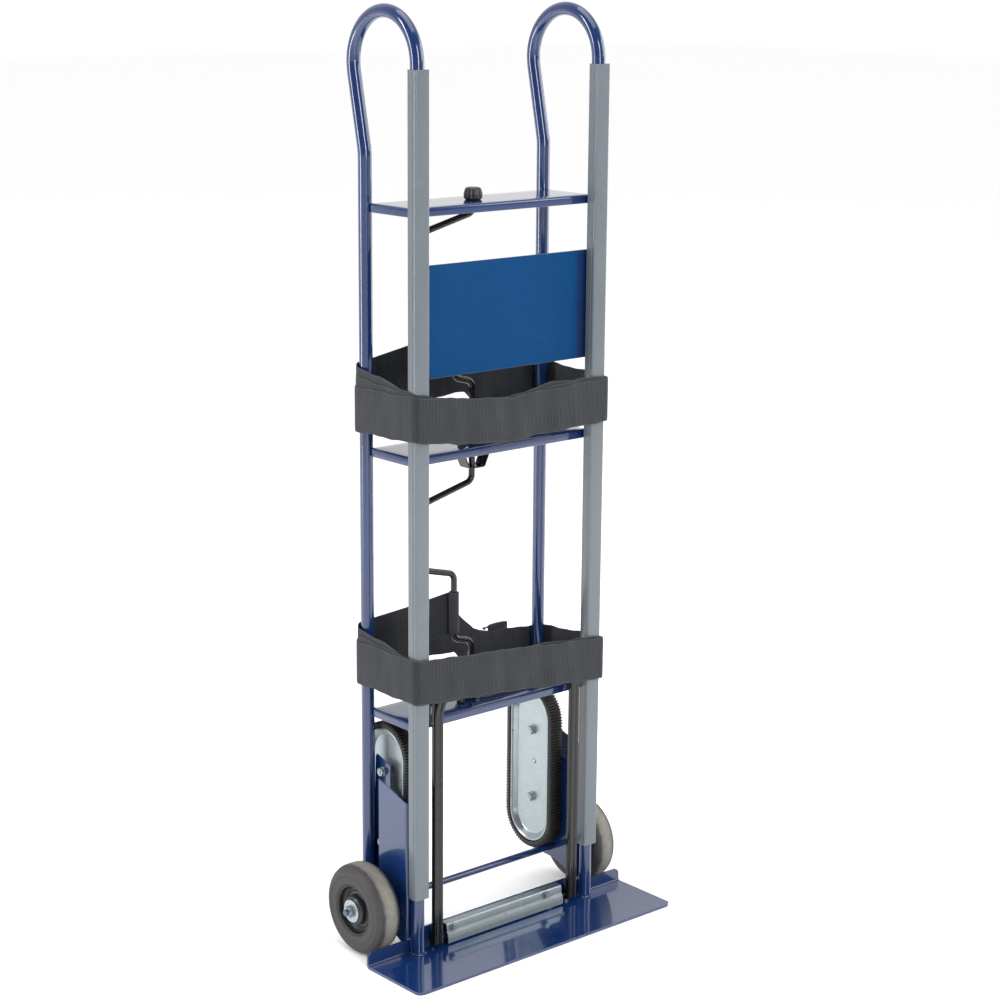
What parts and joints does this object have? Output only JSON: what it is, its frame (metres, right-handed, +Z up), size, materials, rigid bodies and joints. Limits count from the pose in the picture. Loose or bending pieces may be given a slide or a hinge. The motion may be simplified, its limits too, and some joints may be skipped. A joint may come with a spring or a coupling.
{
  "type": "stair climbing trolley",
  "caption": "Blue appliance hand truck with a toe plate, solid rubber wheels, belt stair climbers, crank-wound webbing straps and a fold-down frame.",
  "frame": {"origin": "on the floor under the toe plate, midway between the side tubes, at the centre plane of their front legs", "axes": "+Z up, +X to the viewer's right when facing the toe plate, +Y towards the wheels and the back"},
  "size_m": [0.5594, 0.2889, 1.5265],
  "materials": {
    "blue_paint": "gloss powder coat, royal blue",
    "blue_label": "satin printed film, plain blue",
    "grey_strip": "satin moulded plastic, cool grey",
    "black_paint": "semi-gloss black paint",
    "black_plastic": "moulded black plastic",
    "tyre_rubber": "solid grey rubber",
    "belt_rubber": "toothed black rubber",
    "webbing": "woven charcoal polyester webbing",
    "zinc": "bright zinc plate"
  },
  "bodies": {
    "root": {"left_side_tube": "blue_paint", "right_side_tube": "blue_paint", "left_rub_strip": "grey_strip", "right_rub_strip": "grey_strip", "left_wheel_bracket": "blue_paint", "right_wheel_bracket": "blue_paint", "lower_shelf": "blue_paint", "middle_shelf": "blue_paint", "top_shelf": "blue_paint", "back_panel": "blue_paint", "panel_label": "blue_label", "toe_plate": "blue_paint", "axle": "blue_paint", "frame_hinge_rod": "zinc", "hinge_channel": "zinc", "left_channel_bolt": "zinc", "right_channel_bolt": "zinc", "ratchet_bracket": "black_paint", "lower_strap": "webbing", "upper_strap": "webbing", "lower_strap_hook": "zinc", "upper_strap_hook": "zinc", "left_axle_washer": "zinc", "left_axle_nut": "zinc", "left_climber_inner_plate": "zinc", "left_climber_outer_plate": "zinc", "left_climber_belt": "belt_rubber", "left_climber_upper_bolt": "zinc", "left_climber_lower_bolt": "zinc", "left_climber_upper_spacer": "zinc", "left_climber_lower_spacer": "zinc", "left_climber_rivet": "zinc", "right_axle_washer": "zinc", "right_axle_nut": "zinc", "right_climber_inner_plate": "zinc", "right_climber_outer_plate": "zinc", "right_climber_belt": "belt_rubber", "right_climber_upper_bolt": "zinc", "right_climber_lower_bolt": "zinc", "right_climber_upper_spacer": "zinc", "right_climber_lower_spacer": "zinc", "right_climber_rivet": "zinc"},
    "left_wheel": {"left_wheel_hub": "black_plastic", "left_tyre": "tyre_rubber"},
    "right_wheel": {"right_wheel_hub": "black_plastic", "right_tyre": "tyre_rubber"},
    "lower_crank": {"lower_crank_rod": "black_paint", "lower_crank_grip": "black_plastic", "lower_ratchet_wheel": "black_paint", "lower_strap_wrap": "webbing"},
    "upper_crank": {"upper_crank_rod": "black_paint", "upper_crank_grip": "black_plastic", "upper_ratchet_wheel": "black_paint", "upper_strap_wrap": "webbing", "crank_top_knob": "black_plastic"},
    "lower_pawl_arm": {"lower_pawl": "zinc"},
    "upper_pawl_arm": {"upper_pawl": "zinc"},
    "fold_down_frame": {"fold_frame": "black_paint"},
    "latch_ring": {"frame_latch": "black_paint"}
  },
  "joints": [
    {"name": "left_wheel_spin", "type": "hinge", "parent": "root", "child": "left_wheel", "pos_m": [-0.24, 0.0745, 0.076], "axis": [1, 0, 0], "continuous": true},
    {"name": "right_wheel_spin", "type": "hinge", "parent": "root", "child": "right_wheel", "pos_m": [0.24, 0.0745, 0.076], "axis": [1, 0, 0], "continuous": true},
    {"name": "lower_crank_turn", "type": "hinge", "parent": "root", "child": "lower_crank", "pos_m": [-0.023, 0.062, 0.6], "axis": [0, 0, 1], "range_deg": [-170, 0], "deforming": ["lower_strap"]},
    {"name": "upper_crank_turn", "type": "hinge", "parent": "root", "child": "upper_crank", "pos_m": [-0.023, 0.062, 1.03], "axis": [0, 0, 1], "range_deg": [-170, 0], "deforming": ["upper_strap"]},
    {"name": "lower_pawl_lift", "type": "hinge", "parent": "root", "child": "lower_pawl_arm", "pos_m": [-0.058, 0.046, 0.401], "axis": [0, 0, 1], "range_deg": [0, 35]},
    {"name": "upper_pawl_lift", "type": "hinge", "parent": "root", "child": "upper_pawl_arm", "pos_m": [-0.058, 0.046, 0.837], "axis": [0, 0, 1], "range_deg": [0, 35]},
    {"name": "frame_fold", "type": "hinge", "parent": "root", "child": "fold_down_frame", "pos_m": [0, 0.001, 0.018], "axis": [1, 0, 0], "range_deg": [0, 90], "deforming": ["lower_strap"]},
    {"name": "latch_swing", "type": "hinge", "parent": "fold_down_frame", "child": "latch_ring", "pos_m": [-0.161, -0.006, 0.428], "axis": [1, 0, 0], "range_deg": [-50, 20]}
  ]
}
